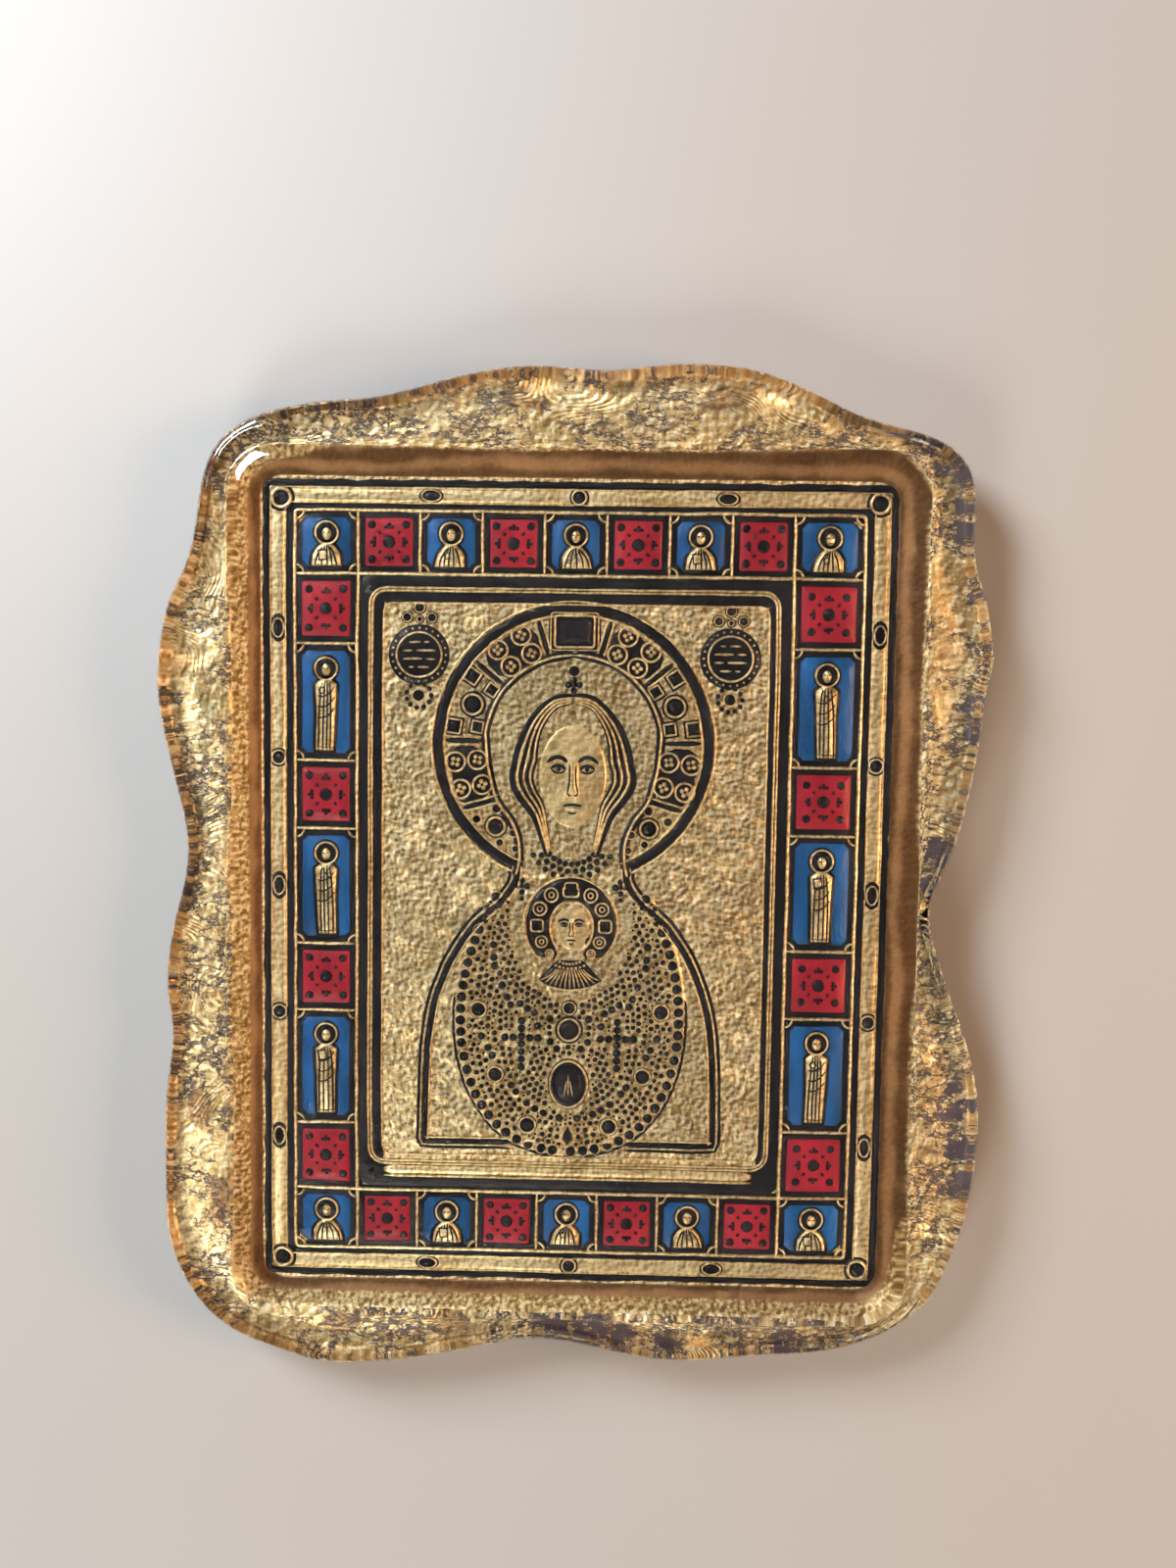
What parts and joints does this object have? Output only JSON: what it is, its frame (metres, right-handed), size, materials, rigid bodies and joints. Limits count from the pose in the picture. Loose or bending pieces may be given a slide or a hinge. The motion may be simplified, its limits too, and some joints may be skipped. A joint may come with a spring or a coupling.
{
  "type": "cast glass icon plaque",
  "caption": "Thick clear cast-glass icon plaque with a wavy hand-pulled rim, its gilded and enamelled relief seen through the glass from its back.",
  "frame": {"origin": "middle of the box around the whole plaque, on the flat back that it lies on", "axes": "+Z out of the picture's face, +Y up the picture, +X to the picture's right as it is looked at"},
  "size_m": [0.2805, 0.3427, 0.025],
  "materials": {
    "clear_glass": "fire-polished clear glass, slightly wavy, with tong dents near the edge",
    "gold_leaf": "crinkled gold leaf with black, red and blue enamel and a dark purple-brown backing paint"
  },
  "bodies": {
    "root": {"cast_glass": "clear_glass", "gilded_relief": "gold_leaf"}
  },
  "joints": []
}
